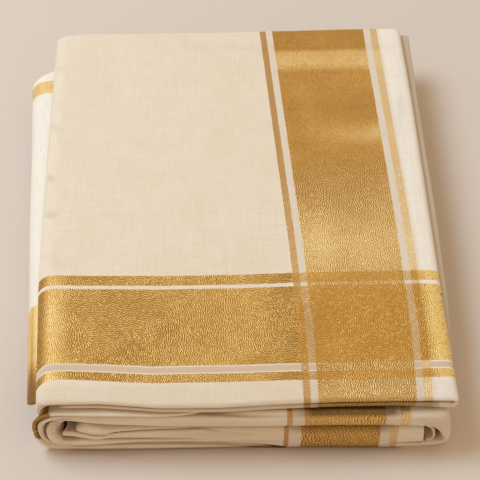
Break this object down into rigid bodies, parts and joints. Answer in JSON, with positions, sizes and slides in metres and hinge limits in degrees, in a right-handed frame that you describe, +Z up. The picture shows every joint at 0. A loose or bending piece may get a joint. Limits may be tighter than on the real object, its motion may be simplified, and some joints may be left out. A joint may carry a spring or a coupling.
{
  "type": "kasavu saree folded in a packet",
  "caption": "Cream cotton saree folded into a flat packet, with gold border and end bands on its top ply, rounded front folds, rolled plies at both ends and a flat underside.",
  "frame": {"origin": "under the middle of the packet, on the surface that it rests on", "axes": "+X towards the side with the lengthwise gold band, +Y from the front folds to the back, +Z up"},
  "size_m": [0.3071, 0.3848, 0.052],
  "materials": {
    "cream_cotton": "matte, fine plain weave, slightly sheer",
    "gold_zari": "metallic thread, grained satin weave"
  },
  "bodies": {
    "root": {"pallu_panel": "cream_cotton", "left_flap": "cream_cotton", "right_ply": "cream_cotton", "outer_wrap": "gold_zari", "second_wrap": "cream_cotton", "left_roll": "cream_cotton", "hollow_ply": "cream_cotton", "fold_a": "cream_cotton", "fold_b": "cream_cotton", "right_roll": "cream_cotton", "right_inner_ply": "cream_cotton"}
  },
  "joints": []
}
